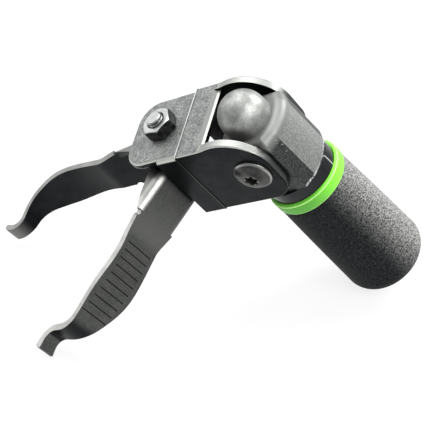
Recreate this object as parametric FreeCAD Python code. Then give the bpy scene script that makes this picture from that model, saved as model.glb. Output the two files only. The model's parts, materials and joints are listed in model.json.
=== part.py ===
import FreeCAD, Part
import math
import os

# Swivel-handled two-jaw hand tool, in millimetres.
#
# Every piece is drawn in the bracket's own frame: X along the bracket towards the handle, Y along
# the swivel axis, Z square to the bracket's web, with the origin between the ears. At the end one
# placement stands the whole tool on its two jaw tips and the rim of its grip, with +Z up, the jaws
# pointing along -X, and the origin at the middle of the footprint.

V = FreeCAD.Vector
AXIS_X = V(1, 0, 0)
AXIS_Y = V(0, 1, 0)
AXIS_Z = V(0, 0, 1)

# --- fits -----------------------------------------------------------------------------------
running_clearance = 0.05     # radial, a shaft that turns in a hole
seat_clearance = 0.03        # radial, a shaft that stays still in a hole
face_gap = 0.05              # between flat faces that slide on each other
side_gap = 0.3               # between neighbours that move past each other

# --- bracket --------------------------------------------------------------------------------
bracket_width = 32.0         # over the outer faces of the ears
wall = 3.1                   # web and ears
web_top = 15.7
ear_height = 31.5
ear_left = -26.7             # the ears' straight end, at the jaws
parting_x = -17.3            # mould parting line round web and ears
window_x = -6.6              # end of the web, where the window for the dome starts
window_bevel = 2.2           # the slope along that end's upper edge, along the web
window_bevel_drop = 1.5      # and down
nose_radius = 15.7           # the ears' round nose
nose_x = 14.3                # the ears' furthest reach towards the handle
ear_crown = 0.7              # rise of the nose above the web
crown_blend = 20.0           # hollow radius between web and nose
heel_radius = 8.8            # the ears' lower corner
end_x = -42.9                # the web's furthest reach past the jaw bolt
end_half = 15.0              # half width of the web there
end_corner = 9.0             # its corners
end_edge = 1.2               # rounding of its upper and lower edges
outer_bend = 2.6             # corner of web and ear, jaw side of the parting line
ear_edge = 0.7               # edge rounding of the ears, handle side
parting_height = 0.22
parting_width = 0.5

# --- jaw bolt -------------------------------------------------------------------------------
bolt_x = -27.9
bolt_radius = 3.175
thread_pitch = 1.27
thread_depth = 0.55
thread_end = 1.6             # thread showing above the nut
nut_across_flats = 11.11
nut_height = 5.0
bolt_head_height = 4.1
nut_turn = 52.0              # degrees the nut stopped at
sleeve_wall = 1.55
head_washer_thick = 1.2
head_washer_radius = 7.6
thrust_washer_thick = 0.5
shim_thick = 0.3

# --- jaws -----------------------------------------------------------------------------------
jaw_sheet = 2.4
jaw_swing_rest = 37.2        # degrees the pair is swung from straight ahead, at the near ear
jaw_half_opening = 27.4      # degrees from the pair's centre line to each jaw's back
jaw_back_offset = 5.8        # bolt axis to the jaw's outer face
jaw_root_radius = 8.0        # flanges about the bolt
jaw_bend = 4.0               # outside bend of flange to back
back_start = 8.8             # the back starts this far along from the bolt
flange_end = 29.0            # the flanges end here, along the back
flange_tip_width = 1.6
notch_radius = 1.3
kink_radius = 11.0           # turn outwards after the flanges
bow_start = 35.7             # where that turn starts, along the back
bow_turn = 17.2              # degrees of it, and that the bow behind it leans from its chord
bow_end = 69.2
hook_in_radius = 12.2        # turn inwards before the tip
hook_in_turn = 52.0
hook_run = 1.9
hook_out_radius = 4.1        # turn outwards at the tip
hook_out_turn = 86.0
tip_run = 3.0
flange_step = 7.0            # run over which the height steps down after the flanges
after_flange_half = 8.3      # half heights of the jaw, along its back
waist_half = 7.9
bulge_half = 8.5
last_groove_half = 6.5
neck_half = 3.3
tip_half = 3.6
neck_before_tip = 6.5
groove_count = 10
groove_first = 41.0
groove_pitch = 3.21
groove_length = 12.4
groove_width = 0.45
groove_depth = 0.35

# --- jaw spring (a plain tube with two legs, the coils' outer shape) ------------------------
spring_wire = 1.6
spring_mean_radius = 6.3
spring_length = 9.6
spring_leg_reach = 20.0
spring_leg_inset = 0.2        # the legs lie this far inside the tube's ends

# --- swivel ---------------------------------------------------------------------------------
pivot_x = 5.3
pivot_z = -1.0
barrel_radius = 4.0
bush_wall = 1.5
bush_length = 8.5
pivot_screw_radius = 2.95
pivot_head_radius = 6.9
pivot_head_height = 3.5
pivot_head_rim = 0.7
pivot_head_flat = 2.9
socket_radius = 1.9
socket_lobe = 0.68
socket_depth = 2.2
pivot_screw_length = 12.0
friction_washer_thick = 1.1
friction_washer_radius = 8.0

# --- knuckle --------------------------------------------------------------------------------
handle_lean = 3.3            # degrees the handle rests off square to the web
knuckle_x = 6.5              # the handle's axis
knuckle_face = 11.8          # axis to the front face at its edges
knuckle_face_bulge = 1.3     # the front face's extra reach at its middle
knuckle_face_half = 7.9
knuckle_side_half = 9.0      # length of the flat sides, each way from the axis
knuckle_top = 8.6
knuckle_bottom = -17.7
knuckle_edge = 1.0
shoulder_edge = 3.4
dome_radius = 9.1
dome_centre_z = 12.1

# --- handle ---------------------------------------------------------------------------------
liner_radius = 13.9
liner_bore = 8.0
liner_bottom = -79.3
shank_thread_radius = 5.0
shank_thread_length = 8.5
shank_length = 56.0
shank_pin_radius = 1.6
shank_pin_z = -62.0
shank_pin_inset = 0.4
ring_top = -23.3
ring_width = 4.6
ring_radius = 15.3
grip_start_radius = 15.0
grip_middle_radius = 15.9
grip_end_radius = 16.8
grip_bottom = -83.8
grip_end_edge = 6.8
grip_start_edge = 0.5

# --- places worked out from the sizes above --------------------------------------------------
half_width = bracket_width / 2
inner_half = half_width - wall
web_bottom = web_top - wall
ear_bottom = web_top - ear_height
sleeve_radius = bolt_radius + seat_clearance + sleeve_wall
flange_low = web_bottom - thrust_washer_thick - face_gap
flange_high = flange_low - jaw_sheet - shim_thick - 2 * face_gap
bend_drop = jaw_bend * (1 - math.sqrt(0.5))
strip_middle = (flange_high - flange_low) / 2
kink_end = bow_start + kink_radius * math.radians(bow_turn)
bow_radius = (bow_end - bow_start) / 2 / math.sin(math.radians(bow_turn))
knuckle_half = inner_half - side_gap
washer_recess = knuckle_half + friction_washer_thick - inner_half
shank_radius = liner_bore - seat_clearance
bush_radius = barrel_radius + running_clearance + bush_wall


def plane_face(edges):
    """A flat face inside a closed run of edges."""
    return Part.Face(Part.Wire(edges))


def line(start, end):
    return Part.LineSegment(start, end).toShape()


def arc(start, middle, end):
    return Part.Arc(start, middle, end).toShape()


def polygon_prism(points, rise):
    """A prism on a closed run of straight edges."""
    wire = Part.makePolygon(points + [points[0]])
    return Part.Face(wire).extrude(rise)


def turned(profile, foot=V(0, 0, 0), axis=AXIS_Z):
    """A full turn of a closed (radius, height) profile of straight edges about an axis."""
    points = [V(radius, 0, height) for radius, height in profile]
    solid = Part.Face(Part.makePolygon(points + [points[0]])).revolve(V(0, 0, 0), AXIS_Z, 360)
    solid.Placement = FreeCAD.Placement(foot, FreeCAD.Rotation(AXIS_Z, axis))
    return solid


def tube(outer, inner, length, foot, axis=AXIS_Z):
    """A plain ring or tube."""
    return Part.makeCylinder(outer, length, foot, axis).cut(Part.makeCylinder(inner, length, foot, axis))


def hexagon(across_flats, height, foot, turn):
    """A hexagon prism with its corners turned off at both ends."""
    corner = across_flats / math.sqrt(3)
    points = []
    for step in range(6):
        angle = math.radians(turn + 60 * step)
        points.append(foot + V(corner * math.cos(angle), corner * math.sin(angle), 0))
    chamfer = corner - across_flats / 2 * 0.97
    drop = chamfer * math.tan(math.radians(30))
    limit = turned([(0, 0), (corner - chamfer, 0), (corner, drop), (corner, height - drop),
                    (corner - chamfer, height), (0, height)], foot)
    return polygon_prism(points, V(0, 0, height)).common(limit)


# --- bracket --------------------------------------------------------------------------------

def ear_outline(start_x, side):
    """The bracket seen from the side, from start_x to the nose, as a flat face at y = side."""
    centre = V(nose_x - nose_radius, side, web_top + ear_crown - nose_radius)
    reach = nose_radius + crown_blend
    blend_z = web_top + crown_blend
    blend_x = centre.x - math.sqrt(reach ** 2 - (blend_z - centre.z) ** 2)
    towards = (V(blend_x, side, blend_z) - centre).normalize()
    crown_start = centre + towards * nose_radius
    blend_mid_turn = math.atan2(crown_start.x - blend_x, blend_z - crown_start.z) / 2
    blend_mid = V(blend_x + crown_blend * math.sin(blend_mid_turn), side,
                  blend_z - crown_blend * math.cos(blend_mid_turn))
    nose_end = V(nose_x, side, centre.z)
    nose_mid = centre + V(math.sin(math.radians(40)), 0, math.cos(math.radians(40))) * nose_radius
    heel_start = V(nose_x, side, ear_bottom + heel_radius)
    heel_end = V(nose_x - heel_radius, side, ear_bottom)
    heel_bow = heel_radius * (1 - math.sqrt(0.5))
    heel_mid = V(nose_x - heel_bow, side, ear_bottom + heel_bow)
    low = V(start_x, side, ear_bottom)
    high = V(start_x, side, web_top)
    blend_start = V(blend_x, side, web_top)
    return plane_face([line(low, high), line(high, blend_start),
                       arc(blend_start, blend_mid, crown_start), arc(crown_start, nose_mid, nose_end),
                       line(nose_end, heel_start), arc(heel_start, heel_mid, heel_end),
                       line(heel_end, low)])


def handle_side_block():
    """The bracket's outside from the parting line to the nose, with rounded outer edges."""
    block = ear_outline(parting_x, -half_width).extrude(V(0, bracket_width, 0))
    rounded = []
    for edge in block.Edges:
        box = edge.BoundBox
        on_outer_face = box.YLength < 1e-6
        at_parting = box.XMax < parting_x + 1e-6
        if on_outer_face and not at_parting:
            rounded.append(edge)
    return block.makeFillet(ear_edge, rounded)


def jaw_side_block():
    """The bracket's outside from the ears' straight end to the parting line."""
    x = ear_left
    bow = outer_bend * (1 - math.sqrt(0.5))
    near_low = V(x, -half_width, ear_bottom)
    near_high = V(x, -half_width, web_top - outer_bend)
    near_mid = V(x, -half_width + bow, web_top - bow)
    near_top = V(x, -half_width + outer_bend, web_top)
    far_top = V(x, half_width - outer_bend, web_top)
    far_mid = V(x, half_width - bow, web_top - bow)
    far_high = V(x, half_width, web_top - outer_bend)
    far_low = V(x, half_width, ear_bottom)
    section = plane_face([line(near_low, near_high), arc(near_high, near_mid, near_top),
                          line(near_top, far_top), arc(far_top, far_mid, far_high),
                          line(far_high, far_low), line(far_low, near_low)])
    return section.extrude(V(parting_x - ear_left, 0, 0))


def web_round_end():
    """The web's overhang past the jaw bolt, with round corners and rounded upper and lower edges."""
    shoulder = half_width - outer_bend / 2
    corner_x = end_x + end_corner
    corner_y = end_half - end_corner
    bow = end_corner * (1 - math.sqrt(0.5))
    z = web_bottom
    edges = [line(V(parting_x, -shoulder, z), V(corner_x, -end_half, z)),
             arc(V(corner_x, -end_half, z), V(end_x + bow, -end_half + bow, z), V(end_x, -corner_y, z)),
             line(V(end_x, -corner_y, z), V(end_x, corner_y, z)),
             arc(V(end_x, corner_y, z), V(end_x + bow, end_half - bow, z), V(corner_x, end_half, z)),
             line(V(corner_x, end_half, z), V(parting_x, shoulder, z)),
             line(V(parting_x, shoulder, z), V(parting_x, -shoulder, z))]
    slab = plane_face(edges).extrude(V(0, 0, wall))
    rim = []
    for edge in slab.Edges:
        box = edge.BoundBox
        if box.ZLength < 1e-6 and box.XMin < parting_x - 1e-6:
            rim.append(edge)
    return slab.makeFillet(end_edge, rim)


def parting_ridge():
    """The fine raised line that the mould leaves round the web and down both ears."""
    x = parting_x - parting_width / 2
    proud = half_width + parting_height
    outer = Part.makeBox(parting_width, 2 * proud, ear_height + parting_height, V(x, -proud, ear_bottom))
    deep = half_width - wall / 2
    inner = Part.makeBox(parting_width, 2 * deep, ear_height - wall / 2, V(x, -deep, ear_bottom))
    corner_edges = []
    for edge in outer.Edges:
        box = edge.BoundBox
        if box.ZMin > web_top and box.YLength < 1e-6:
            corner_edges.append(edge)
    return outer.makeFillet(ear_edge + parting_height, corner_edges).cut(inner)


def clevis_bracket():
    body = handle_side_block().fuse([jaw_side_block(), web_round_end(), parting_ridge()])
    length = nose_x - ear_left
    channel = Part.makeBox(length + 2, 2 * inner_half, ear_height, V(ear_left - 1, -inner_half,
                                                                  web_bottom - ear_height))
    window = Part.makeBox(nose_x - window_x + 1, 2 * inner_half, 2 * ear_height,
                          V(window_x, -inner_half, ear_bottom - 1))
    end_low = web_top - window_bevel_drop
    bevel = polygon_prism([V(window_x - window_bevel, -inner_half, web_top),
                           V(window_x, -inner_half, end_low),
                           V(window_x + 1, -inner_half, end_low),
                           V(window_x + 1, -inner_half, web_top + 1),
                           V(window_x - window_bevel, -inner_half, web_top + 1)],
                          V(0, 2 * inner_half, 0))
    body = body.cut([channel, window, bevel])
    bolt_hole = Part.makeCylinder(bolt_radius + seat_clearance, 2 * wall,
                                  V(bolt_x, 0, web_bottom - wall / 2), AXIS_Z)
    pivot_hole = Part.makeCylinder(pivot_screw_radius + seat_clearance, bracket_width + 2,
                                   V(pivot_x, -half_width - 1, pivot_z), AXIS_Y)
    return body.cut([bolt_hole, pivot_hole]).removeSplitter()


# --- jaw bolt and what is on it ----------------------------------------------------------------

def jaw_bolt():
    """A hexagon head at the bottom, a plain shank, and a thread at the top as ring grooves."""
    shank_foot = -web_bottom - head_washer_thick
    head = hexagon(nut_across_flats, bolt_head_height, V(bolt_x, 0, shank_foot - bolt_head_height), 0)
    top = web_top + nut_height + thread_end
    core = bolt_radius - thread_depth
    profile = [(0, shank_foot), (bolt_radius, shank_foot), (bolt_radius, web_top + 0.2)]
    crest_z = top - thread_depth - 0.1
    crests = int((crest_z - web_top - 0.2) / thread_pitch)
    for turn in range(crests, 0, -1):
        z = crest_z - turn * thread_pitch
        profile.append((bolt_radius, z + 0.15 * thread_pitch))
        profile.append((core, z + 0.5 * thread_pitch))
        profile.append((bolt_radius, z + 0.85 * thread_pitch))
    profile.append((bolt_radius, crest_z + 0.15 * thread_pitch))
    profile.append((core, top))
    profile.append((0, top))
    return turned(profile, V(bolt_x, 0, 0)).fuse(head).removeSplitter()


def jaw_nut():
    foot = V(bolt_x, 0, web_top)
    bore = Part.makeCylinder(bolt_radius + seat_clearance, nut_height, foot, AXIS_Z)
    return hexagon(nut_across_flats, nut_height, foot, nut_turn).cut(bore)


def bolt_sleeve():
    """The sleeve that the nut clamps between web and head washer, so that the jaws stay free."""
    return tube(sleeve_radius, bolt_radius + seat_clearance, 2 * web_bottom, V(bolt_x, 0, -web_bottom))


def head_washer():
    return tube(head_washer_radius, bolt_radius + seat_clearance, head_washer_thick,
                V(bolt_x, 0, -web_bottom - head_washer_thick))


def sleeve_ring(thickness, foot_z):
    """A thin washer that turns on the sleeve."""
    return tube(jaw_root_radius - 0.4, sleeve_radius + running_clearance, thickness, V(bolt_x, 0, foot_z))


# --- jaws -------------------------------------------------------------------------------------
# A jaw is drawn for the side of positive Y in a frame with the bolt at the origin and the pair's
# centre line along X. The other jaw is the same stamping turned over.

class JawPath:
    """The outer face of a jaw in plan: straight runs and arcs that leave each other in line."""

    def __init__(self):
        self.heading = math.radians(jaw_half_opening)
        self.point = self.left(self.heading) * jaw_back_offset
        self.outer = []
        self.inner = []

    def left(self, heading):
        return V(-math.sin(heading), math.cos(heading), 0)

    def inside(self, point, heading):
        return point - self.left(heading) * jaw_sheet

    def run(self, length, drawn=True):
        end = self.point + V(math.cos(self.heading), math.sin(self.heading), 0) * length
        if drawn:
            self.outer.append(line(self.point, end))
            self.inner.append(line(self.inside(self.point, self.heading), self.inside(end, self.heading)))
        self.point = end

    def bend(self, radius, turn):
        """Turn left for a positive turn in degrees, right for a negative one."""
        side = 1 if turn > 0 else -1
        centre = self.point + self.left(self.heading) * radius * side
        half_way = self.heading + math.radians(turn) / 2
        last = self.heading + math.radians(turn)
        middle = centre - self.left(half_way) * radius * side
        end = centre - self.left(last) * radius * side
        self.outer.append(arc(self.point, middle, end))
        self.inner.append(arc(self.inside(self.point, self.heading), self.inside(middle, half_way),
                              self.inside(end, last)))
        self.point = end
        self.heading = last


def along_back(distance, inwards=0.0, height=0.0):
    """A point of the jaw's straight back, measured from abreast of the bolt."""
    heading = math.radians(jaw_half_opening)
    forward = V(math.cos(heading), math.sin(heading), 0)
    outwards = V(-math.sin(heading), math.cos(heading), 0)
    return forward * distance + outwards * (jaw_back_offset - inwards) + V(0, 0, height)


def turn_over(length):
    """Degrees the bowed back turns inwards over a length of it."""
    return -math.degrees(length / bow_radius)


def jaw_strip():
    """The bent strip, from the root to the tip, as high as the flanges."""
    path = JawPath()
    path.run(back_start, drawn=False)
    start = path.point
    path.run(bow_start - back_start)
    path.bend(kink_radius, bow_turn)
    path.bend(bow_radius, -2 * bow_turn)
    path.bend(hook_in_radius, -hook_in_turn)
    path.run(hook_run)
    path.bend(hook_out_radius, hook_out_turn)
    path.run(tip_run)
    start_inner = path.inside(start, math.radians(jaw_half_opening))
    end_inner = path.inside(path.point, path.heading)
    edges = path.outer + [line(path.point, end_inner)] + path.inner + [line(start_inner, start)]
    wire = Part.Wire(Part.__sortEdges__(edges))
    solid = Part.Face(wire).extrude(V(0, 0, flange_high + flange_low))
    solid.translate(V(0, 0, -flange_low))
    return solid, path.point


def jaw_edge(tip, flange, side):
    """One long edge of the strip seen from its side, from the end of a flange to the tip.

    It starts where the rounded bend in front of it seems to end."""
    def at(distance, half):
        return V(along_back(distance).x, 0, strip_middle + side * half)

    flange_half = flange - bend_drop - side * strip_middle
    points = [at(flange_end, flange_half),
              at(flange_end + flange_step / 2, (flange_half + after_flange_half) / 2),
              at(flange_end + flange_step, after_flange_half),
              at(groove_first + groove_pitch, waist_half),
              at(groove_first + 5.5 * groove_pitch, bulge_half),
              at(groove_first + (groove_count - 1) * groove_pitch, last_groove_half),
              V(tip.x - neck_before_tip, 0, strip_middle + side * neck_half),
              V(tip.x + 1, 0, strip_middle + side * tip_half)]
    curve = Part.BSplineCurve()
    curve.interpolate(points)
    return curve.toShape(), points


def jaw_side_view(tip):
    """What the strip keeps, seen from its side: full height at the root, then waist, bulge, neck."""
    upper_curve, upper = jaw_edge(tip, flange_high, 1)
    lower_curve, lower = jaw_edge(tip, flange_low, -1)
    root_high = V(-jaw_root_radius, 0, flange_high)
    root_low = V(-jaw_root_radius, 0, -flange_low)
    edges = [line(root_low, root_high), line(root_high, upper[0]), upper_curve,
             line(upper[-1], lower[-1]), lower_curve, line(lower[0], root_low)]
    wire = Part.Wire(Part.__sortEdges__(edges))
    return Part.Face(wire).extrude(V(0, 2 * bow_end, 0))


def flange_plan():
    """The flanges in plan: round about the bolt, then a tongue that narrows along the back."""
    high = flange_high + flange_low
    rise = V(0, 0, high)
    down = V(0, 0, -flange_low)
    far_in = jaw_back_offset + jaw_root_radius
    disc = Part.makeCylinder(jaw_root_radius, high, down, AXIS_Z)
    tongue = polygon_prism([along_back(0), along_back(flange_end), along_back(flange_end, flange_tip_width),
                            along_back(0, far_in)], rise)
    keep = polygon_prism([along_back(-2 * far_in), along_back(2 * flange_end),
                          along_back(2 * flange_end, 2 * far_in), along_back(-2 * far_in, 2 * far_in)], rise)
    tongue.translate(down)
    keep.translate(down)
    return disc.fuse(tongue).common(keep)


def channel_bar(inset, radius, start, end):
    """A bar along the back, from start to end, with two round corners: the outside of the bent
    sheet for an inset of 0, the inside for an inset of the sheet's thickness."""
    heading = math.radians(jaw_half_opening)
    forward = V(math.cos(heading), math.sin(heading), 0)
    bow = radius * (1 - math.sqrt(0.5))
    deep = 4 * jaw_root_radius
    top = flange_high - inset
    bottom = inset - flange_low
    points = [along_back(start, inset, bottom + radius), along_back(start, inset, top - radius),
              along_back(start, inset + bow, top - bow), along_back(start, inset + radius, top),
              along_back(start, deep, top), along_back(start, deep, bottom),
              along_back(start, inset + radius, bottom), along_back(start, inset + bow, bottom + bow)]
    section = plane_face([line(points[0], points[1]), arc(points[1], points[2], points[3]),
                          line(points[3], points[4]), line(points[4], points[5]),
                          line(points[5], points[6]), arc(points[6], points[7], points[0])])
    return section.extrude(forward * (end - start))


def jaw_envelope():
    """The outside of back and flanges with rounded bends, and everything beyond the flanges."""
    deep = 4 * jaw_root_radius
    reach = 2 * bow_end
    rounded = channel_bar(0, jaw_bend, -2 * jaw_root_radius, flange_end)
    beyond = polygon_prism([along_back(flange_end, -deep, -flange_low),
                            along_back(reach, -deep, -flange_low),
                            along_back(reach, 3 * deep, -flange_low),
                            along_back(flange_end, 3 * deep, -flange_low)],
                           V(0, 0, flange_high + flange_low))
    return rounded.fuse(beyond)


def jaw_grooves():
    """The finger grooves across the outer face."""
    path = JawPath()
    path.run(bow_start)
    path.bend(kink_radius, bow_turn)
    path.bend(bow_radius, turn_over(groove_first - kink_end))
    cuts = []
    for number in range(groove_count):
        cut = Part.makeBox(groove_width, 2 * groove_depth, groove_length,
                           V(-groove_width / 2, -groove_depth, strip_middle - groove_length / 2))
        cut.Placement = FreeCAD.Placement(path.point, FreeCAD.Rotation(AXIS_Z, math.degrees(path.heading)))
        cuts.append(cut)
        path.bend(bow_radius, turn_over(groove_pitch))
    return cuts


def jaw():
    """One jaw, for the side of positive Y. Its two flanges lie at unequal heights."""
    heading = math.radians(jaw_half_opening)
    strip, tip = jaw_strip()
    strip = strip.common(jaw_side_view(tip))
    high = flange_high + flange_low
    size = 4 * bow_end
    across = polygon_prism([along_back(-size, -size), along_back(back_start, -size),
                            along_back(back_start, size), along_back(-size, size)],
                           V(0, 0, high - 2 * jaw_sheet))
    across.translate(V(0, 0, jaw_sheet - flange_low))
    inside = channel_bar(jaw_sheet, jaw_bend - jaw_sheet, back_start, 2 * flange_end)
    flanges = flange_plan().cut([across, inside])
    body = strip.fuse(flanges).common(jaw_envelope())
    hole = Part.makeCylinder(sleeve_radius + running_clearance, high + 2, V(0, 0, -flange_low - 1), AXIS_Z)
    outwards = V(-math.sin(heading), math.cos(heading), 0)
    notch_foot = along_back(flange_end + notch_radius, 2 * jaw_sheet, flange_high - bend_drop)
    notch = Part.makeCylinder(notch_radius, 4 * jaw_sheet, notch_foot, outwards)
    return body.cut([hole, notch] + jaw_grooves()).removeSplitter()


def at_jaw_bolt(shape):
    """Moves a piece from the jaws' own frame to the bracket's."""
    place = FreeCAD.Placement(V(bolt_x, 0, 0), FreeCAD.Rotation(AXIS_Z, 180 + jaw_swing_rest))
    shape.Placement = place.multiply(shape.Placement)
    return shape


def near_jaw():
    return at_jaw_bolt(jaw())


def far_jaw():
    """The same stamping turned over."""
    turned_over = jaw()
    turned_over.rotate(V(0, 0, 0), AXIS_X, 180)
    return at_jaw_bolt(turned_over)


def jaw_spring():
    """The torsion spring's outer shape: a tube for the coils and a leg along each jaw's back."""
    wire = spring_wire / 2
    outer = spring_mean_radius + wire
    body = tube(outer, spring_mean_radius - wire, spring_length, V(0, 0, -spring_length / 2))
    leg_inset = jaw_sheet + side_gap + wire
    leg_start = math.sqrt(spring_mean_radius ** 2 - (jaw_back_offset - leg_inset) ** 2)
    heading = math.radians(jaw_half_opening)
    leg_height = spring_length / 2 - wire - spring_leg_inset
    for side, height in ((1, leg_height), (-1, -leg_height)):
        foot = along_back(leg_start, leg_inset, height)
        foot.y = foot.y * side
        forward = V(math.cos(heading), side * math.sin(heading), 0)
        body = body.fuse(Part.makeCylinder(wire, spring_leg_reach - leg_start, foot, forward))
    return at_jaw_bolt(body)


# --- swivel -----------------------------------------------------------------------------------

def pivot_barrel():
    """The threaded barrel that spans the gap between the ears."""
    return tube(barrel_radius, pivot_screw_radius + seat_clearance, 2 * inner_half,
                V(pivot_x, -inner_half, pivot_z), AXIS_Y)


def pivot_screw(side):
    """A button head screw through one ear into the barrel; side is -1 near, 1 far."""
    dome_radius_here = (pivot_head_radius ** 2 + (pivot_head_height - pivot_head_rim) ** 2)
    dome_radius_here = dome_radius_here / (2 * (pivot_head_height - pivot_head_rim))
    profile = [(0, -pivot_screw_length), (pivot_screw_radius, -pivot_screw_length),
               (pivot_screw_radius, 0), (pivot_head_radius, 0), (pivot_head_radius, pivot_head_rim)]
    steps = 8
    flat_height = dome_height(pivot_head_flat, dome_radius_here)
    for step in range(1, steps + 1):
        radius = pivot_head_radius + (pivot_head_flat - pivot_head_radius) * step / steps
        profile.append((radius, dome_height(radius, dome_radius_here)))
    profile.append((0, flat_height))
    screw = turned(profile)
    socket_foot = V(0, 0, flat_height - socket_depth)
    socket = Part.makeCylinder(socket_radius, socket_depth + 1, socket_foot, AXIS_Z)
    for lobe in range(6):
        angle = math.radians(60 * lobe)
        foot = socket_foot + V(socket_radius * math.cos(angle), socket_radius * math.sin(angle), 0)
        socket = socket.fuse(Part.makeCylinder(socket_lobe, socket_depth + 1, foot, AXIS_Z))
    screw = screw.cut(socket)
    screw.Placement = FreeCAD.Placement(V(pivot_x, side * half_width, pivot_z),
                                        FreeCAD.Rotation(AXIS_X, -90 * side))
    return screw


def dome_height(radius, ball_radius):
    """Height of the button head's dome over the ear, at a radius from its middle."""
    drop_at_rim = math.sqrt(ball_radius ** 2 - pivot_head_radius ** 2)
    return pivot_head_rim + math.sqrt(ball_radius ** 2 - radius ** 2) - drop_at_rim


def pivot_bush(side):
    """A plain bush pressed into the knuckle from one side, flush with the washer's seat."""
    outer_end = knuckle_half - washer_recess
    start = outer_end - bush_length if side > 0 else -outer_end
    return tube(bush_radius, barrel_radius + running_clearance, bush_length,
                V(pivot_x, start, pivot_z), AXIS_Y)


def friction_washer(side):
    start = inner_half - friction_washer_thick if side > 0 else -inner_half
    return tube(friction_washer_radius, barrel_radius + running_clearance, friction_washer_thick,
                V(pivot_x, start, pivot_z), AXIS_Y)


# --- knuckle and handle -------------------------------------------------------------------------

def knuckle_section(height):
    """The knuckle's section: flat sides, slanted corners, and slightly round front and back."""
    half = knuckle_face_half
    face = knuckle_face
    side = knuckle_side_half
    wide = knuckle_half

    def at(x, y):
        return V(knuckle_x + x, y, height)

    edges = [arc(at(face, -half), at(face + knuckle_face_bulge, 0), at(face, half)),
             line(at(face, half), at(side, wide)), line(at(side, wide), at(-side, wide)),
             line(at(-side, wide), at(-face, half)),
             arc(at(-face, half), at(-face - knuckle_face_bulge, 0), at(-face, -half)),
             line(at(-face, -half), at(-side, -wide)), line(at(-side, -wide), at(side, -wide)),
             line(at(side, -wide), at(face, -half))]
    return plane_face(edges)


def knuckle():
    height = knuckle_top - knuckle_bottom
    block = knuckle_section(knuckle_bottom).extrude(V(0, 0, height))
    upright = []
    for edge in block.Edges:
        box = edge.BoundBox
        if box.ZLength > height / 2:
            upright.append(edge)
    block = block.makeFillet(knuckle_edge, upright)
    top_edges = [edge for edge in block.Edges if edge.BoundBox.ZMin > knuckle_top - 1e-6]
    block = block.makeFillet(shoulder_edge, top_edges)
    neck = Part.makeCylinder(dome_radius, dome_centre_z - knuckle_top + 2,
                             V(knuckle_x, 0, knuckle_top - 2), AXIS_Z)
    dome = Part.makeSphere(dome_radius, V(knuckle_x, 0, dome_centre_z))
    body = block.fuse([neck, dome]).removeSplitter()
    bore = Part.makeCylinder(bush_radius + seat_clearance, 2 * knuckle_half + 2,
                             V(pivot_x, -knuckle_half - 1, pivot_z), AXIS_Y)
    cuts = [bore]
    for start in (-knuckle_half - 1, knuckle_half - washer_recess):
        cuts.append(Part.makeCylinder(friction_washer_radius + seat_clearance, washer_recess + 1,
                                      V(pivot_x, start, pivot_z), AXIS_Y))
    cuts.append(Part.makeCylinder(shank_thread_radius + seat_clearance, shank_thread_length,
                                  V(knuckle_x, 0, knuckle_bottom), AXIS_Z))
    return body.cut(cuts)


def handle_shank():
    """Steel rod down the handle, with a threaded neck up into the knuckle."""
    neck = shank_thread_length - seat_clearance
    rod = shank_radius
    profile = [(0, -shank_length), (rod - 1, -shank_length), (rod, 1 - shank_length), (rod, 0),
               (shank_thread_radius, 0), (shank_thread_radius, neck - 0.8),
               (shank_thread_radius - 0.8, neck), (0, neck)]
    pin_hole = Part.makeCylinder(shank_pin_radius + seat_clearance, 2 * liner_radius,
                                 V(knuckle_x, -liner_radius, shank_pin_z), AXIS_Y)
    return turned(profile, V(knuckle_x, 0, knuckle_bottom)).cut(pin_hole)


def handle_liner():
    liner = tube(liner_radius, liner_bore, knuckle_bottom - liner_bottom, V(knuckle_x, 0, liner_bottom))
    pin_hole = Part.makeCylinder(shank_pin_radius + seat_clearance, 2 * liner_radius + 2,
                                 V(knuckle_x, -liner_radius - 1, shank_pin_z), AXIS_Y)
    return liner.cut(pin_hole)


def shank_pin():
    half = liner_radius - shank_pin_inset
    return Part.makeCylinder(shank_pin_radius, 2 * half, V(knuckle_x, -half, shank_pin_z), AXIS_Y)


def accent_ring():
    edge = 0.4
    inner = liner_radius + seat_clearance
    low = ring_top - ring_width
    profile = [(inner, low), (ring_radius - edge, low), (ring_radius, low + edge),
               (ring_radius, ring_top - edge), (ring_radius - edge, ring_top), (inner, ring_top)]
    return turned(profile, V(knuckle_x, 0, 0))


def grip_sleeve():
    """The soft grip: closed at its end, a little fuller towards it, with a large round edge."""
    top = ring_top - ring_width
    cavity = liner_radius + seat_clearance
    floor = liner_bottom - seat_clearance
    edge = grip_start_edge
    bow = edge * (1 - math.sqrt(0.5))
    round_start = grip_bottom + grip_end_edge
    round_bow = grip_end_edge * (1 - math.sqrt(0.5))

    def at(radius, height):
        return V(knuckle_x + radius, 0, height)

    swell_middle = (top + round_start) / 2
    edges = [line(at(0, grip_bottom), at(grip_end_radius - grip_end_edge, grip_bottom)),
             arc(at(grip_end_radius - grip_end_edge, grip_bottom),
                 at(grip_end_radius - round_bow, grip_bottom + round_bow), at(grip_end_radius, round_start)),
             arc(at(grip_end_radius, round_start), at(grip_middle_radius, swell_middle),
                 at(grip_start_radius, top - edge)),
             arc(at(grip_start_radius, top - edge), at(grip_start_radius - bow, top - bow),
                 at(grip_start_radius - edge, top)),
             line(at(grip_start_radius - edge, top), at(cavity, top)),
             line(at(cavity, top), at(cavity, floor)), line(at(cavity, floor), at(0, floor)),
             line(at(0, floor), at(0, grip_bottom))]
    return plane_face(edges).revolve(V(knuckle_x, 0, 0), AXIS_Z, 360)



def on_handle(shape):
    """Leans a piece of the handle about the pivot to where the handle rests."""
    pivot = V(pivot_x, 0, pivot_z)
    lean = FreeCAD.Placement(V(0, 0, 0), FreeCAD.Rotation(AXIS_Y, -handle_lean), pivot)
    shape.Placement = lean.multiply(shape.Placement)
    return shape


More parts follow.
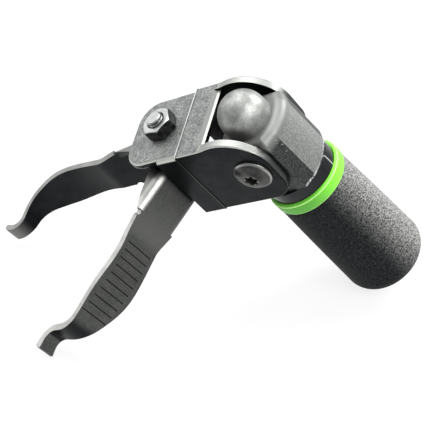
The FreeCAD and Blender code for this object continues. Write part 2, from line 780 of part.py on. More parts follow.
def lowest(points, tilt):
    """Height of the lowest of some points when the tool leans back by tilt degrees."""
    lean = FreeCAD.Rotation(AXIS_Y, -tilt)
    return min(lean.multVec(point).z for point in points)


def stand(shapes):
    """The placement that stands the tool on its jaw tips and its grip's rim."""
    swing = FreeCAD.Rotation(AXIS_Z, -jaw_swing_rest)
    tips = [swing.multVec(point) for point in shapes["near_jaw"].tessellate(0.02)[0]]
    grip = [swing.multVec(point) for point in shapes["grip_sleeve"].tessellate(0.02)[0]]
    small = 0.0
    large = 89.0
    for halving in range(30):
        tilt = (small + large) / 2
        if lowest(grip, tilt) < lowest(tips, tilt):
            small = tilt
        else:
            large = tilt
    turn = FreeCAD.Rotation(AXIS_Y, -tilt).multiply(swing)
    whole = Part.makeCompound([shape.copy() for shape in shapes.values()])
    whole.Placement = FreeCAD.Placement(V(0, 0, 0), turn).multiply(whole.Placement)
    box = whole.optimalBoundingBox(True, False)
    shift = V(-(box.XMin + box.XMax) / 2, -(box.YMin + box.YMax) / 2, -box.ZMin)
    print("lean", round(tilt, 3), "box", round(box.XLength, 2), round(box.YLength, 2), round(box.ZLength, 2))
    return FreeCAD.Placement(shift, turn)


def main():
    shapes = {
        "clevis_bracket": clevis_bracket(),
        "jaw_bolt": jaw_bolt(),
        "jaw_nut": jaw_nut(),
        "bolt_sleeve": bolt_sleeve(),
        "head_washer": head_washer(),
        "upper_thrust_washer": sleeve_ring(thrust_washer_thick, web_bottom - thrust_washer_thick),
        "lower_thrust_washer": sleeve_ring(thrust_washer_thick, -web_bottom),
        "upper_flange_shim": sleeve_ring(shim_thick, flange_high + face_gap),
        "lower_flange_shim": sleeve_ring(shim_thick, -flange_high - face_gap - shim_thick),
        "near_jaw": near_jaw(),
        "far_jaw": far_jaw(),
        "jaw_spring": jaw_spring(),
        "pivot_barrel": pivot_barrel(),
        "near_pivot_screw": pivot_screw(-1),
        "far_pivot_screw": pivot_screw(1),
        "near_friction_washer": on_handle(friction_washer(-1)),
        "far_friction_washer": on_handle(friction_washer(1)),
        "near_pivot_bush": on_handle(pivot_bush(-1)),
        "far_pivot_bush": on_handle(pivot_bush(1)),
        "knuckle": on_handle(knuckle()),
        "handle_shank": on_handle(handle_shank()),
        "handle_liner": on_handle(handle_liner()),
        "shank_pin": on_handle(shank_pin()),
        "accent_ring": on_handle(accent_ring()),
        "grip_sleeve": on_handle(grip_sleeve()),
    }
    standing = stand(shapes)
    print("placement", [round(value, 9) for value in standing.Matrix.A])
    os.makedirs("parts", exist_ok=True)
    for node, shape in shapes.items():
        shape.Placement = standing.multiply(shape.Placement)
        if not shape.isValid():
            print("not valid:", node)
        print(node, len(shape.Solids), "solid", round(shape.Volume, 1), "mm3")
        shape.exportStep("parts/" + node + ".step")


main()
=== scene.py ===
# %% [markdown]
# # A swivel-handled two-jaw hand tool
#
# The engineering model of this tool is already made: every cast, stamped and turned piece exists
# at its real size. This lesson gives those pieces their looks. It rounds their edges, winds the
# spring, moulds the grip, and paints each finish with shader nodes.
#
# All lengths are in metres, so millimetres are written as a number times MM.

# %% Load the frame
import json
import math

import bpy
from mathutils import Matrix, Vector


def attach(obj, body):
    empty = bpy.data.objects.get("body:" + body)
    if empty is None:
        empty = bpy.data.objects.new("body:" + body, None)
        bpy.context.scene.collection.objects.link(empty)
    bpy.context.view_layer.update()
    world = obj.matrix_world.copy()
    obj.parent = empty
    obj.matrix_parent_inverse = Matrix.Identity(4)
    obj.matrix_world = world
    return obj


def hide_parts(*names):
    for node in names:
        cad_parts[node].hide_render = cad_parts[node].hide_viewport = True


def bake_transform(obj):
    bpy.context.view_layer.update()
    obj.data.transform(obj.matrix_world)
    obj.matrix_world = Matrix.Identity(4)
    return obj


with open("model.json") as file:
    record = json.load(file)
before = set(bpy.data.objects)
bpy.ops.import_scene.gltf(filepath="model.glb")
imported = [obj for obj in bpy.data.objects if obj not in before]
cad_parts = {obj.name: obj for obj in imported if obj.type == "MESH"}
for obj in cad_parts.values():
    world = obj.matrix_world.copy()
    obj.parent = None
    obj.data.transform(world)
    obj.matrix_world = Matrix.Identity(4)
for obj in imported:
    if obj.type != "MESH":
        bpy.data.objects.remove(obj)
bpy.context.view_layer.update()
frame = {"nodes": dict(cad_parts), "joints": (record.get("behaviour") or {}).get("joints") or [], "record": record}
MM = 0.001

# %% [markdown]
# The tool stands askew on its jaw tips and the rim of its grip, so few of its faces lie along the
# world's axes. It is much easier to think in the frame of the casting, of the pair of jaws, or of
# the handle. The joints of the model tell where those frames are: the jaws turn about an axis that
# is square to the casting's web, and the handle turns about an axis from ear to ear.

# %% Frames of the casting, the jaws and the handle
joints = {joint["name"]: joint for joint in frame["joints"]}
mounts = {mount["name"]: mount for mount in frame["record"]["mounts"]}
web_normal = -Vector(joints["jaw_swing"]["axis"]).normalized()
ear_axis = -Vector(joints["handle_swivel"]["axis"]).normalized()
along_bracket = ear_axis.cross(web_normal).normalized()
bolt = Vector(joints["jaw_swing"]["pos_m"])
pivot = Vector(joints["handle_swivel"]["pos_m"])

# Places along the casting, in millimetres.
BOLT_X = -27.9
PARTING_X = -17.3
WINDOW_X = -6.6

# The slope at the window falls by its drop over its run, in millimetres.
SLOPE_RUN = 2.2
SLOPE_DROP = 1.5

# How far each jaw stands out from the middle at rest, in degrees.
JAW_HALF_OPENING = 27.4

# A limit past every piece, in millimetres, for a band that is open at one end.
OUT_OF_REACH = 200


def frame_from(x_axis, y_axis, z_axis, origin):
    """A matrix that takes a point of its own frame, in metres, to the world."""
    matrix = Matrix((x_axis, y_axis, z_axis)).transposed().to_4x4()
    matrix.translation = origin
    return matrix


casting_origin = bolt - along_bracket * BOLT_X * MM
casting = frame_from(along_bracket, ear_axis, web_normal, casting_origin)

grip_axis = -Vector(mounts["grip_end"]["axis"]).normalized()
handle_front = ear_axis.cross(grip_axis).normalized()
grip_end = Vector(mounts["grip_end"]["pos_m"])

# Places along the handle, in millimetres from the pivot and negative towards the grip's end.
KNUCKLE_BOTTOM = -17.7
RING_TOP = -23.3
GRIP_TOP = -27.9
GRIP_BOTTOM = -83.8
handle = frame_from(handle_front, ear_axis, grip_axis, grip_end - grip_axis * GRIP_BOTTOM * MM)

# The grip and the ring are painted lighter on the side that looks this way, and darker on the other, as light from
# the upper right.
towards_light = Vector((0.74, 0.24, 0.63))
lit_side = (towards_light - grip_axis * grip_axis.dot(towards_light)).normalized()

jaw_ahead = web_normal.cross(Vector((0, 1, 0))).normalized()
jaws = frame_from(jaw_ahead, web_normal.cross(jaw_ahead).normalized(), web_normal, bolt)
jaw_turn = math.radians(JAW_HALF_OPENING)
near_jaw_out = jaws.to_3x3() @ Vector((-math.sin(jaw_turn), math.cos(jaw_turn), 0))
far_jaw_out = jaws.to_3x3() @ Vector((-math.sin(jaw_turn), -math.cos(jaw_turn), 0))
near_jaw_ahead = jaws.to_3x3() @ Vector((math.cos(jaw_turn), math.sin(jaw_turn), 0))
far_jaw_ahead = jaws.to_3x3() @ Vector((math.cos(jaw_turn), -math.sin(jaw_turn), 0))
print("casting frame:", [round(value, 4) for row in casting for value in row])
print("handle frame starts at", [round(value / MM, 2) for value in handle.translation], "mm")

# %% [markdown]
# The camera looks down on the near ear from the left, with a fairly long lens, so that the casting keeps its
# proportions.

# %% Camera
camera_data = bpy.data.cameras.new("camera")
camera_data.lens = 88.4
camera_data.sensor_width = 36.0
camera_data.clip_start = 0.01
camera = bpy.data.objects.new("camera", camera_data)
camera.location = (-0.09859, -0.32368, 0.26531)
camera.rotation_euler = [math.radians(angle) for angle in (54.548, -1.282, -16.351)]
bpy.context.scene.collection.objects.link(camera)
bpy.context.scene.camera = camera
bpy.context.scene.view_settings.view_transform = "Standard"
print("camera lens", camera_data.lens, "mm")

# %% [markdown]
# Metal shows whatever it mirrors, so the light on this tool is mostly a matter of what stands
# round it. The world is a pale room, brighter towards the ceiling, with two wide soft panels in
# it: one behind on the left, which the flat web mirrors, and one low on the right, which the
# knuckle's front mirrors. Each panel is a smooth spot round one direction, added to the brightness
# of the room.

# %% World
world = bpy.data.worlds.new("studio")
bpy.context.scene.world = world
world.use_nodes = True
sky = world.node_tree.nodes
sky_links = world.node_tree.links
sky_light = sky["Background"]
sky_light.inputs["Color"].default_value = (0.97, 0.985, 1.0, 1)
sky_direction = sky.new("ShaderNodeTexCoord").outputs["Generated"]


def sky_panel(direction, start, end, strength):
    """Brightness of a soft spot: none at start, full at end, both as cosines to its middle."""
    towards = sky.new("ShaderNodeVectorMath")
    towards.operation = "DOT_PRODUCT"
    towards.inputs[1].default_value = Vector(direction).normalized()
    spot = sky.new("ShaderNodeMapRange")
    spot.interpolation_type = "SMOOTHSTEP"
    spot.inputs["From Min"].default_value = start
    spot.inputs["From Max"].default_value = end
    spot.inputs["To Max"].default_value = strength
    sky_links.new(sky_direction, towards.inputs[0])
    sky_links.new(towards.outputs["Value"], spot.inputs["Value"])
    return spot.outputs["Result"]


sky_sum = sky_panel((0, 0, 1), -0.15, 0.8, 0.6)
for panel in (sky_panel((-0.507, 0.778, 0.371), 0.72, 0.95, 0.65),
              sky_panel((0.95, 0.15, 0.10), 0.60, 0.95, 0.45),
              sky_panel((0, 0, 1), -1.5, -0.9, 0.16)):
    adder = sky.new("ShaderNodeMath")
    adder.operation = "ADD"
    sky_links.new(sky_sum, adder.inputs[0])
    sky_links.new(panel, adder.inputs[1])
    sky_sum = adder.outputs[0]
sky_links.new(sky_sum, sky_light.inputs["Strength"])
print("world nodes:", len(sky))

# %% [markdown]
# Area lamps do the rest. A wide one overhead gives the soft shadow, a smaller one near the camera
# puts the round highlight on the knuckle's dome, and one high on the right rakes along the grip so
# that its skin sparkles.

# %% Lamps
MIDDLE_OF_TOOL = Vector((0, 0, 0.045))


def soft_lamp(name, place, size, power):
    """A rectangular area lamp that faces the middle of the tool."""
    data = bpy.data.lights.new(name, "AREA")
    data.shape = "RECTANGLE"
    data.size = size[0]
    data.size_y = size[1]
    data.energy = power
    lamp = bpy.data.objects.new(name, data)
    lamp.location = place
    aim = MIDDLE_OF_TOOL - Vector(place)
    lamp.rotation_euler = aim.to_track_quat("-Z", "Y").to_euler()
    bpy.context.scene.collection.objects.link(lamp)


soft_lamp("overhead", (-0.10, 0.15, 0.55), (0.45, 0.35), 2.0)
soft_lamp("near_camera", (0.10, -0.28, 0.38), (0.30, 0.20), 1.25)
soft_lamp("upper_right", (0.46, 0.16, 0.42), (0.25, 0.25), 2.6)

# %% [markdown]
# The floor is a wide white sheet. The camera, and the metal that mirrors the floor, see it as
# nearly pure white, which Light Path tells apart from the light that it scatters. A part of the
# sheet's own shading stays in the mix, so a faint shadow ties the jaw tips and the grip to the
# ground.

# %% Floor
bpy.ops.mesh.primitive_plane_add(size=6.0, location=(0, 0, -0.0002))
floor = bpy.context.active_object
floor.name = "floor"
bpy.ops.object.transform_apply(location=True)
floor_finish = bpy.data.materials.new("white_floor")
floor_finish.use_nodes = True
floor_nodes = floor_finish.node_tree.nodes
floor_links = floor_finish.node_tree.links
floor_shader = floor_nodes["Principled BSDF"]
floor_shader.inputs["Base Color"].default_value = (0.86, 0.86, 0.86, 1)
floor_shader.inputs["Roughness"].default_value = 0.9
floor_white = floor_nodes.new("ShaderNodeEmission")
floor_white.inputs["Strength"].default_value = 1.0
floor_mix = floor_nodes.new("ShaderNodeMixShader")
floor_rays = floor_nodes.new("ShaderNodeLightPath")
floor_share = floor_nodes.new("ShaderNodeMath")
floor_share.operation = "MULTIPLY"
floor_share.inputs[1].default_value = 0.82
floor_seen = floor_rays.outputs["Is Camera Ray"]
for ray in ("Is Glossy Ray", "Is Transmission Ray"):
    either = floor_nodes.new("ShaderNodeMath")
    either.operation = "MAXIMUM"
    floor_links.new(floor_seen, either.inputs[0])
    floor_links.new(floor_rays.outputs[ray], either.inputs[1])
    floor_seen = either.outputs[0]
floor_links.new(floor_seen, floor_share.inputs[0])
floor_links.new(floor_share.outputs[0], floor_mix.inputs["Fac"])
floor_links.new(floor_shader.outputs[0], floor_mix.inputs[1])
floor_links.new(floor_white.outputs[0], floor_mix.inputs[2])
floor_links.new(floor_mix.outputs[0], floor_nodes["Material Output"].inputs["Surface"])
floor.data.materials.append(floor_finish)
print("floor is", floor.dimensions.x, "m wide")

# %% [markdown]
# ## Shared effects
#
# Cast, stamped and moulded surfaces differ mostly in the size and strength of their grain. One
# node group gives every finish its grain: a fine speckle, a slow mottle, and a height for a Bump
# node. It reads Object coordinates, so that the grain stays put when a piece moves.

# %% Grain group
def new_group(name, inputs, outputs):
    """A node group with its inputs, given by their defaults, and its outputs."""
    group = bpy.data.node_groups.new(name, "ShaderNodeTree")
    for socket_name, default in inputs.items():
        kind = "NodeSocketFloat" if isinstance(default, float) else "NodeSocketVector"
        socket = group.interface.new_socket(name=socket_name, in_out="INPUT", socket_type=kind)
        socket.default_value = default
    for socket_name in outputs:
        group.interface.new_socket(name=socket_name, in_out="OUTPUT", socket_type="NodeSocketFloat")
    return group, group.nodes.new("NodeGroupInput"), group.nodes.new("NodeGroupOutput")


grain, grain_in, grain_out = new_group(
    "surface_grain", {"Speckle Scale": 2500.0, "Mottle Scale": 120.0, "Detail": 3.0},
    ("Speckle", "Mottle", "Height"))
grain_place = grain.nodes.new("ShaderNodeTexCoord")
speckle = grain.nodes.new("ShaderNodeTexNoise")
mottle = grain.nodes.new("ShaderNodeTexNoise")
speckle.inputs["Roughness"].default_value = 0.65
mottle.inputs["Roughness"].default_value = 0.55
grain_height = grain.nodes.new("ShaderNodeMath")
grain_height.operation = "MULTIPLY_ADD"
grain_height.inputs[1].default_value = 0.7
grain_rest = grain.nodes.new("ShaderNodeMath")
grain_rest.operation = "MULTIPLY"
grain_rest.inputs[1].default_value = 0.3
for noise, socket_name in ((speckle, "Speckle Scale"), (mottle, "Mottle Scale")):
    grain.links.new(grain_place.outputs["Object"], noise.inputs["Vector"])
    grain.links.new(grain_in.outputs[socket_name], noise.inputs["Scale"])
    grain.links.new(grain_in.outputs["Detail"], noise.inputs["Detail"])
grain.links.new(speckle.outputs["Fac"], grain_out.inputs["Speckle"])
grain.links.new(mottle.outputs["Fac"], grain_out.inputs["Mottle"])
grain.links.new(mottle.outputs["Fac"], grain_rest.inputs[0])
grain.links.new(speckle.outputs["Fac"], grain_height.inputs[0])
grain.links.new(grain_rest.outputs[0], grain_height.inputs[2])
grain.links.new(grain_height.outputs[0], grain_out.inputs["Height"])
print("group", grain.name, "has", len(grain.nodes), "nodes")

# %% [markdown]
# Many faces of this tool differ by which way they face: the web's top is sand-cast and pale and the ears' sides
# are smooth and dark, partly as painted light and shade, and the sheared edges of the jaws are bright. A second
# group gives a mask for that, which the finishes also use to paint highlights and shade. It takes a direction in
# the object's own frame, and puts out 1 where the surface faces that way, with a soft edge.

# %% Facing group
facing, facing_in, facing_out = new_group(
    "facing_mask", {"Direction": (0, 0, 1), "From": 0.7, "To": 0.9}, ("One Way", "Both Ways"))
facing_place = facing.nodes.new("ShaderNodeTexCoord")
facing_dot = facing.nodes.new("ShaderNodeVectorMath")
facing_dot.operation = "DOT_PRODUCT"
facing_size = facing.nodes.new("ShaderNodeMath")
facing_size.operation = "ABSOLUTE"
facing.links.new(facing_place.outputs["Normal"], facing_dot.inputs[0])
facing.links.new(facing_in.outputs["Direction"], facing_dot.inputs[1])
facing.links.new(facing_dot.outputs["Value"], facing_size.inputs[0])
for source, socket_name in ((facing_dot.outputs["Value"], "One Way"),
                            (facing_size.outputs[0], "Both Ways")):
    soften = facing.nodes.new("ShaderNodeMapRange")
    soften.interpolation_type = "SMOOTHSTEP"
    facing.links.new(source, soften.inputs["Value"])
    facing.links.new(facing_in.outputs["From"], soften.inputs["From Min"])
    facing.links.new(facing_in.outputs["To"], soften.inputs["From Max"])
    facing.links.new(soften.outputs["Result"], facing_out.inputs[socket_name])
print("group", facing.name, "has", len(facing.nodes), "nodes")

# %% [markdown]
# The third shared effect is handling wear: a few fine scratches. A noise texture that is stretched
# hard in one direction looks like that once only its highest values are kept.

# %% Scratch group
scratch, scratch_in, scratch_out = new_group(
    "fine_scratches", {"Scale": 1500.0, "Turn": 0.6, "Amount": 0.5}, ("Mask",))
scratch_place = scratch.nodes.new("ShaderNodeTexCoord")
scratch_turn = scratch.nodes.new("ShaderNodeVectorRotate")
scratch_turn.inputs["Axis"].default_value = (0.4, 0.5, 0.76)
scratch_stretch = scratch.nodes.new("ShaderNodeVectorMath")
scratch_stretch.operation = "MULTIPLY"
scratch_stretch.inputs[1].default_value = (1.0, 0.03, 1.0)
scratch_noise = scratch.nodes.new("ShaderNodeTexNoise")
scratch_noise.inputs["Detail"].default_value = 2.0
scratch_window = scratch.nodes.new("ShaderNodeMapRange")
scratch_window.interpolation_type = "SMOOTHSTEP"
scratch_window.inputs["From Min"].default_value = 0.70
scratch_window.inputs["From Max"].default_value = 0.76
scratch_amount = scratch.nodes.new("ShaderNodeMath")
scratch_amount.operation = "MULTIPLY"
scratch.links.new(scratch_place.outputs["Object"], scratch_turn.inputs["Vector"])
scratch.links.new(scratch_in.outputs["Turn"], scratch_turn.inputs["Angle"])
scratch.links.new(scratch_turn.outputs["Vector"], scratch_stretch.inputs[0])
scratch.links.new(scratch_stretch.outputs["Vector"], scratch_noise.inputs["Vector"])
scratch.links.new(scratch_in.outputs["Scale"], scratch_noise.inputs["Scale"])
scratch.links.new(scratch_noise.outputs["Fac"], scratch_window.inputs["Value"])
scratch.links.new(scratch_window.outputs["Result"], scratch_amount.inputs[0])
scratch.links.new(scratch_in.outputs["Amount"], scratch_amount.inputs[1])
scratch.links.new(scratch_amount.outputs[0], scratch_out.inputs["Mask"])
print("group", scratch.name, "has", len(scratch.nodes), "nodes")

# %% [markdown]
# ## Finishes
#
# Each finish is one material: a Principled BSDF, the grain group, and what makes that finish its
# own. A small class keeps the wiring readable. It starts a material with its grain, makes masks,
# paints one colour over another by a mask, and at the end wires tone, roughness and bump.

# %% A class for finishes
class Finish:
    """A material under construction."""

    def __init__(self, name, metallic, speckle_scale, mottle_scale):
        self.material = bpy.data.materials.new(name)
        self.material.use_nodes = True
        self.nodes = self.material.node_tree.nodes
        self.links = self.material.node_tree.links
        self.shader = self.nodes["Principled BSDF"]
        self.shader.inputs["Metallic"].default_value = metallic
        scales = {"Speckle Scale": speckle_scale, "Mottle Scale": mottle_scale}
        grain_node = self.node("ShaderNodeGroup", scales, node_tree=grain)
        self.speckle = grain_node.outputs["Speckle"]
        self.mottle = grain_node.outputs["Mottle"]
        self.height = grain_node.outputs["Height"]
        self.tone = None

    def put(self, value, socket):
        """Wires a socket to another one, or sets it to a plain value."""
        if isinstance(value, bpy.types.NodeSocket):
            self.links.new(value, socket)
        elif socket.type == "RGBA":
            socket.default_value = (*value, 1)
        else:
            socket.default_value = value

    def node(self, kind, values, **settings):
        """A new node with its settings and its inputs."""
        node = self.nodes.new(kind)
        for name, setting in settings.items():
            setattr(node, name, setting)
        for name, value in values.items():
            self.put(value, node.inputs[name])
        return node

    def faces(self, direction, start, end, both=False):
        """A mask that grows from start to end, which are cosines of the angle to a direction."""
        values = {"Direction": direction, "From": start, "To": end}
        node = self.node("ShaderNodeGroup", values, node_tree=facing)
        return node.outputs["Both Ways" if both else "One Way"]

    def scratches(self, scale, turn, amount):
        values = {"Scale": scale, "Turn": turn, "Amount": amount}
        return self.node("ShaderNodeGroup", values, node_tree=scratch).outputs["Mask"]

    def tones(self, mask, dark, light, start=0.3, end=0.7):
        """A colour from dark to light as the mask goes from start to end."""
        ramp = self.node("ShaderNodeValToRGB", {"Fac": mask})
        ramp.color_ramp.elements[0].position = start
        ramp.color_ramp.elements[0].color = (*dark, 1)
        ramp.color_ramp.elements[1].position = end
        ramp.color_ramp.elements[1].color = (*light, 1)
        return ramp.outputs["Color"]

    def over(self, mask, below, above):
        """Puts one colour over another where the mask is 1."""
        values = {"Factor": mask, "A": below, "B": above}
        return self.node("ShaderNodeMix", values, data_type="RGBA").outputs["Result"]

    def paint(self, mask, colour):
        """Puts a colour over the tone so far."""
        self.tone = self.over(mask, self.tone, colour)

    def between(self, mask, low, high):
        """A number that goes from low to high with the mask."""
        values = {"Value": mask, "To Min": low, "To Max": high}
        return self.node("ShaderNodeMapRange", values).outputs["Result"]

    def times(self, first, second):
        values = {0: first, 1: second}
        return self.node("ShaderNodeMath", values, operation="MULTIPLY", use_clamp=True).outputs[0]

    def window(self, value, low, high, soft):
        """1 where a value lies between low and high, with soft edges."""
        rise = {"Value": value, "From Min": low - soft, "From Max": low + soft}
        fall = {"Value": value, "From Min": high + soft, "From Max": high - soft}
        return self.times(self.node("ShaderNodeMapRange", rise).outputs["Result"],
                          self.node("ShaderNodeMapRange", fall).outputs["Result"])

    def band(self, place, low, high, soft):
        """A window over a place, with its limits in millimetres."""
        return self.window(place, low * MM, high * MM, soft * MM)

    def place_in(self, matrix):
        """Object coordinates turned into one of the tool's own frames, in metres."""
        back = matrix.inverted()
        values = {"Vector": self.node("ShaderNodeTexCoord", {}).outputs["Object"],
                  "Location": back.to_translation(), "Rotation": back.to_euler()}
        mapping = self.node("ShaderNodeMapping", values)
        return self.node("ShaderNodeSeparateXYZ", {0: mapping.outputs["Vector"]}).outputs

    def distance_from_axis(self, matrix):
        """How far a point is from the Z axis of one of the tool's own frames, in metres."""
        place = self.place_in(matrix)
        flat = self.node("ShaderNodeCombineXYZ", {"X": place["X"], "Y": place["Y"]})
        size = self.node("ShaderNodeVectorMath", {0: flat.outputs[0]}, operation="LENGTH")
        return size.outputs["Value"]

    def finished(self, roughness, strength, depth):
        """Wires the tone, the roughness and the bump, and gives the material."""
        self.put(self.tone, self.shader.inputs["Base Color"])
        self.put(roughness, self.shader.inputs["Roughness"])
        values = {"Strength": strength, "Distance": depth, "Height": self.height}
        bump = self.node("ShaderNodeBump", values)
        self.put(bump.outputs["Normal"], self.shader.inputs["Normal"])
        return self.material


finishes = {}
print("ready to mix finishes")

# %% [markdown]
# The bracket is a zinc alloy casting with a dark dip finish. Its web is pale and sandy on top, with grey stains,
# and the ears' sides are smooth and nearly black. This is partly the finish and partly painted light and shade:
# the top is painted as lit from above and the sides as in shade. The web's edges, the rims of the ears and the
# last edge of the slope at the window carry painted highlights, and the rims are brighter the more they face up.
# Where the two halves of the mould met, a raised line runs round. Along it a painted highlight marks the crest,
# bright on the web and pale on the ears, with a painted shadow beside it on the ears. The place of a point along
# the casting tells where that line is.

# %% Casting finish
cast = Finish("bracket_casting", 1.0, 1500.0, 260.0)
cast_x = cast.place_in(casting)["X"]
on_web = cast.faces(web_normal, 0.35, 0.7)
off_web = cast.faces(web_normal, 0.7, 0.35)
# Painted highlight on the web's rounded edges.
web_edge_highlight = cast.times(cast.faces(web_normal, 0.97, 0.85), cast.faces(web_normal, 0.30, 0.55))
off_ears = cast.faces(ear_axis, 0.75, 0.45, both=True)
# The ears' rims get a painted highlight, brighter the more they face up.
on_rim = cast.times(off_ears, cast.band(cast_x, WINDOW_X, OUT_OF_REACH, 0.3))
slope_normal = (along_bracket * SLOPE_DROP + web_normal * SLOPE_RUN).normalized()
on_slope = cast.times(cast.faces(slope_normal, 0.985, 0.995),
                      cast.band(cast_x, WINDOW_X - 3, WINDOW_X, 0.3))
# Painted highlight along the window's edge.
window_edge_highlight = cast.times(cast.band(cast_x, WINDOW_X - 0.75, WINDOW_X + 0.05, 0.12),
                         cast.faces(web_normal, 0.2, 0.4))
window_edge_highlight = cast.times(window_edge_highlight, cast.faces(ear_axis, 0.8, 0.5, both=True))
# Along the mould's raised line: a painted highlight on its crest and a painted shadow beside it.
ridge_highlight = cast.band(cast_x, PARTING_X - 0.3, PARTING_X + 0.3, 0.1)
ridge_shadow = cast.band(cast_x, PARTING_X - 0.9, PARTING_X + 0.9, 0.15)

stain = cast.times(cast.window(cast.mottle, 0.52, 1.0, 0.10), 0.45)
# The web's pale sand and the ears' near-black base are partly their finish and partly painted light and shade.
sand = cast.tones(cast.speckle, (0.16, 0.168, 0.162), (0.45, 0.46, 0.44), 0.36, 0.64)
rim_lit_from_above = cast.tones(cast.faces(web_normal, -0.1, 1.0), (0.07, 0.073, 0.07), (0.40, 0.41, 0.39),
                      0.0, 1.0)
cast.tone = cast.tones(cast.mottle, (0.005, 0.007, 0.008), (0.013, 0.014, 0.015), 0.35, 0.65)
cast.paint(on_web, cast.over(stain, sand, (0.13, 0.14, 0.138)))
cast.paint(web_edge_highlight, (0.60, 0.62, 0.58))
cast.paint(on_rim, rim_lit_from_above)
cast.paint(on_slope, (0.17, 0.175, 0.165))
cast.paint(window_edge_highlight, (0.48, 0.50, 0.46))
cast.paint(cast.times(ridge_shadow, off_web), (0.006, 0.008, 0.009))
cast.paint(cast.times(ridge_highlight, off_web), (0.07, 0.07, 0.068))
cast.paint(cast.times(ridge_highlight, on_web), (0.74, 0.75, 0.73))
finishes["bracket_casting"] = cast.finished(cast.between(on_web, 0.30, 0.52), 0.35, 0.10 * MM)
print("finish", cast.material.name)

# %% [markdown]
# The knuckle is cast in the same alloy and then tumbled. Its dome is satin and a little cloudy, the shoulder below
# the dome is plain, the front keeps a fine grain, and the flat sides and the slanted corners are dark. At the foot
# of the front a torn pale line is left, where the mould's flash was broken off. A few fine scratches lie over all
# of it.

# %% Knuckle finish
SHOULDER_START = 4.2
DOME_START = 10.0
FLASH_HEIGHT = 0.8
knuckle = Finish("knuckle_casting", 1.0, 1600.0, 140.0)
knuckle_z = knuckle.place_in(handle)["Z"]
on_side = knuckle.times(knuckle.faces(ear_axis, 0.34, 0.46, both=True),
                        knuckle.band(knuckle_z, -OUT_OF_REACH, SHOULDER_START + 0.8, 1.5))
on_shoulder = knuckle.band(knuckle_z, SHOULDER_START, OUT_OF_REACH, 1.6)
on_dome = knuckle.band(knuckle_z, DOME_START, OUT_OF_REACH, 2.0)
flash = knuckle.band(knuckle_z, KNUCKLE_BOTTOM, KNUCKLE_BOTTOM + FLASH_HEIGHT, 0.2)
flash = knuckle.times(flash, knuckle.faces(handle_front, 0.6, 0.8))
flash = knuckle.times(flash, knuckle.window(knuckle.speckle, 0.44, 1.0, 0.03))

side_tone = knuckle.tones(knuckle.speckle, (0.030, 0.033, 0.034), (0.110, 0.112, 0.110), 0.34, 0.7)
dome_tone = knuckle.tones(knuckle.speckle, (0.36, 0.365, 0.355), (0.48, 0.49, 0.465), 0.34, 0.66)
cloud = knuckle.times(knuckle.window(knuckle.mottle, 0.50, 1.0, 0.08), 0.55)
knuckle.tone = knuckle.tones(knuckle.speckle, (0.20, 0.205, 0.20), (0.40, 0.405, 0.39), 0.34, 0.66)
knuckle.paint(on_side, side_tone)
knuckle.paint(on_shoulder, (0.24, 0.245, 0.235))
knuckle.paint(on_dome, knuckle.over(cloud, dome_tone, (0.15, 0.155, 0.145)))
knuckle.paint(flash, (0.75, 0.76, 0.74))
knuckle.paint(knuckle.scratches(1500.0, 2.1, 0.5), (0.7, 0.7, 0.7))
knuckle_rough = knuckle.between(on_shoulder, 0.46, 0.56)
finishes["knuckle_casting"] = knuckle.finished(knuckle_rough, 0.12, 0.08 * MM)
print("finish", knuckle.material.name)

# %% [markdown]
# The jaws are stamped from sheet and blackened. Both flats are the same steel, but the outer flat is painted a
# mottled grey as lit, and the inner flat near black as shade, except at the hook, where the inner flat is painted
# lighter. A painted sheen lies on the outer flat round the kink, and where the hook bends in, the outer flat is
# painted black as shade. The sheared edges are pale, where the shear breaks through the dark skin, and the upper
# bend carries a painted highlight. All that is close to the bolt gets a painted shadow, and the top edge a little
# farther out is painted dimmer. The two jaws are one stamping turned over, so the same recipe is mixed twice, each
# time with the directions of its own jaw, and the far jaw's pale edges and bend highlight are mixed darker.

